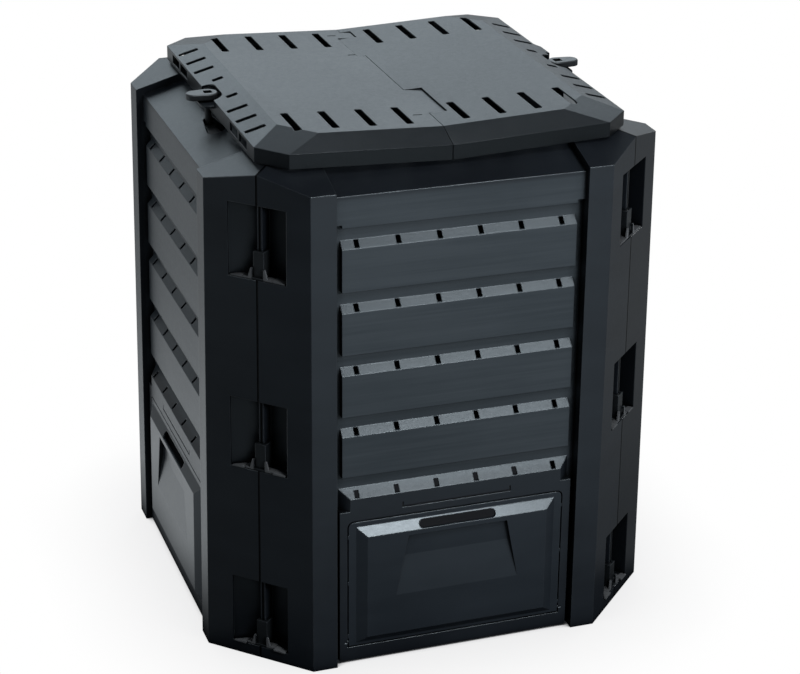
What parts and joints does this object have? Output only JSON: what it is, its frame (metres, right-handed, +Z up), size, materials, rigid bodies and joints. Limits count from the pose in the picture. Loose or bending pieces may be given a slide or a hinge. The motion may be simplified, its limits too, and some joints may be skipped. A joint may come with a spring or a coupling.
{
  "type": "compost bin with lid",
  "caption": "Square garden compost bin with louvred walls, chamfered corners locked by slide-in keys, a hinged hatch in each wall and a split vented lift-off lid with turning latches.",
  "frame": {"origin": "centre of the square base on the ground plane", "axes": "+Z up, +X along the front wall to its right as seen from in front, -Y out of the front wall"},
  "size_m": [0.719, 0.719, 0.824],
  "materials": {
    "wall_plastic": "black moulded polypropylene with a satin skin",
    "hatch_plastic": "black moulded polypropylene with a satin skin",
    "lid_plastic": "black moulded polypropylene, finely grained on top",
    "key_plastic": "black moulded polypropylene",
    "latch_plastic": "black moulded polypropylene, slightly glossy from handling"
  },
  "bodies": {
    "bin": {"wall_front": "wall_plastic", "wall_right": "wall_plastic", "wall_back": "wall_plastic", "wall_left": "wall_plastic", "key_front_right_lower": "key_plastic", "key_front_right_middle": "key_plastic", "key_front_right_upper": "key_plastic", "key_back_right_lower": "key_plastic", "key_back_right_middle": "key_plastic", "key_back_right_upper": "key_plastic", "key_back_left_lower": "key_plastic", "key_back_left_middle": "key_plastic", "key_back_left_upper": "key_plastic", "key_front_left_lower": "key_plastic", "key_front_left_middle": "key_plastic", "key_front_left_upper": "key_plastic"},
    "hatch_front": {"hatch_front": "hatch_plastic"},
    "hatch_right": {"hatch_right": "hatch_plastic"},
    "hatch_back": {"hatch_back": "hatch_plastic"},
    "hatch_left": {"hatch_left": "hatch_plastic"},
    "lid": {"lid_half_left": "lid_plastic", "lid_half_right": "lid_plastic"},
    "latch_left": {"latch_knob_left": "latch_plastic", "latch_stem_left": "latch_plastic"},
    "latch_right": {"latch_knob_right": "latch_plastic", "latch_stem_right": "latch_plastic"}
  },
  "joints": [
    {"name": "hatch_front_hinge", "type": "hinge", "parent": "bin", "child": "hatch_front", "pos_m": [0, -0.34613, 0.0355], "axis": [1, 0, 0], "range_deg": [0, 90]},
    {"name": "hatch_right_hinge", "type": "hinge", "parent": "bin", "child": "hatch_right", "pos_m": [0.34613, 0, 0.0355], "axis": [0, 1, 0], "range_deg": [0, 90]},
    {"name": "hatch_back_hinge", "type": "hinge", "parent": "bin", "child": "hatch_back", "pos_m": [0, 0.34613, 0.0355], "axis": [-1, 0, 0], "range_deg": [0, 90]},
    {"name": "hatch_left_hinge", "type": "hinge", "parent": "bin", "child": "hatch_left", "pos_m": [-0.34613, 0, 0.0355], "axis": [0, -1, 0], "range_deg": [0, 90]},
    {"name": "lid_lift", "type": "slide", "parent": "bin", "child": "lid", "axis": [0, 0, 1], "range_m": [0, 0.15]},
    {"name": "latch_left_turn", "type": "hinge", "parent": "lid", "child": "latch_left", "pos_m": [-0.284, 0, 0.8], "axis": [0, 0, 1], "range_deg": [0, 90]},
    {"name": "latch_right_turn", "type": "hinge", "parent": "lid", "child": "latch_right", "pos_m": [0.284, 0, 0.8], "axis": [0, 0, 1], "range_deg": [0, 90]}
  ]
}
